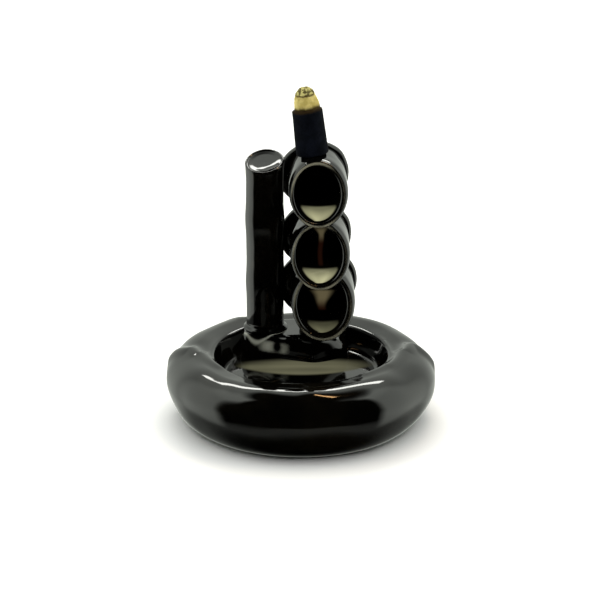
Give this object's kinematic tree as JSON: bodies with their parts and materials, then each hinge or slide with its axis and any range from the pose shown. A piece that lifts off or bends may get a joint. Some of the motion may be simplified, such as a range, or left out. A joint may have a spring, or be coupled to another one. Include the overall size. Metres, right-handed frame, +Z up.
{
  "type": "incense burner",
  "caption": "Glazed ceramic backflow incense burner: a round pond bowl with stacked bamboo spouts, a bamboo post and a removable incense cone.",
  "frame": {"origin": "centre of the foot rim, on the surface the burner stands on", "axes": "+Z up, the spouts' mouths face -Y, +X to the right seen from the mouths"},
  "size_m": [0.104, 0.104, 0.1241],
  "materials": {
    "dark_glaze": "high gloss near-black brown glaze",
    "rock_glaze": "glossy dark brown glaze over rough clay",
    "raw_clay": "matt unglazed stoneware",
    "incense": "matt pressed incense powder",
    "ash": "matt crumbly ash"
  },
  "bodies": {
    "burner": {"pond_bowl": "dark_glaze", "base_plate": "raw_clay", "rock_ledge": "rock_glaze", "saddle_rock": "rock_glaze", "lower_spout": "dark_glaze", "lower_node_end": "dark_glaze", "middle_spout": "dark_glaze", "middle_node_end": "dark_glaze", "upper_spout": "dark_glaze", "upper_node_end": "dark_glaze", "bamboo_post": "dark_glaze", "post_cap": "dark_glaze", "foot_coil": "dark_glaze"},
    "cone": {"cone_body": "incense", "cone_ash": "ash"}
  },
  "joints": [
    {"name": "cone_lift", "type": "slide", "parent": "burner", "child": "cone", "axis": [-0.1219, 0, 0.9925], "range_m": [0, 0.05]}
  ]
}
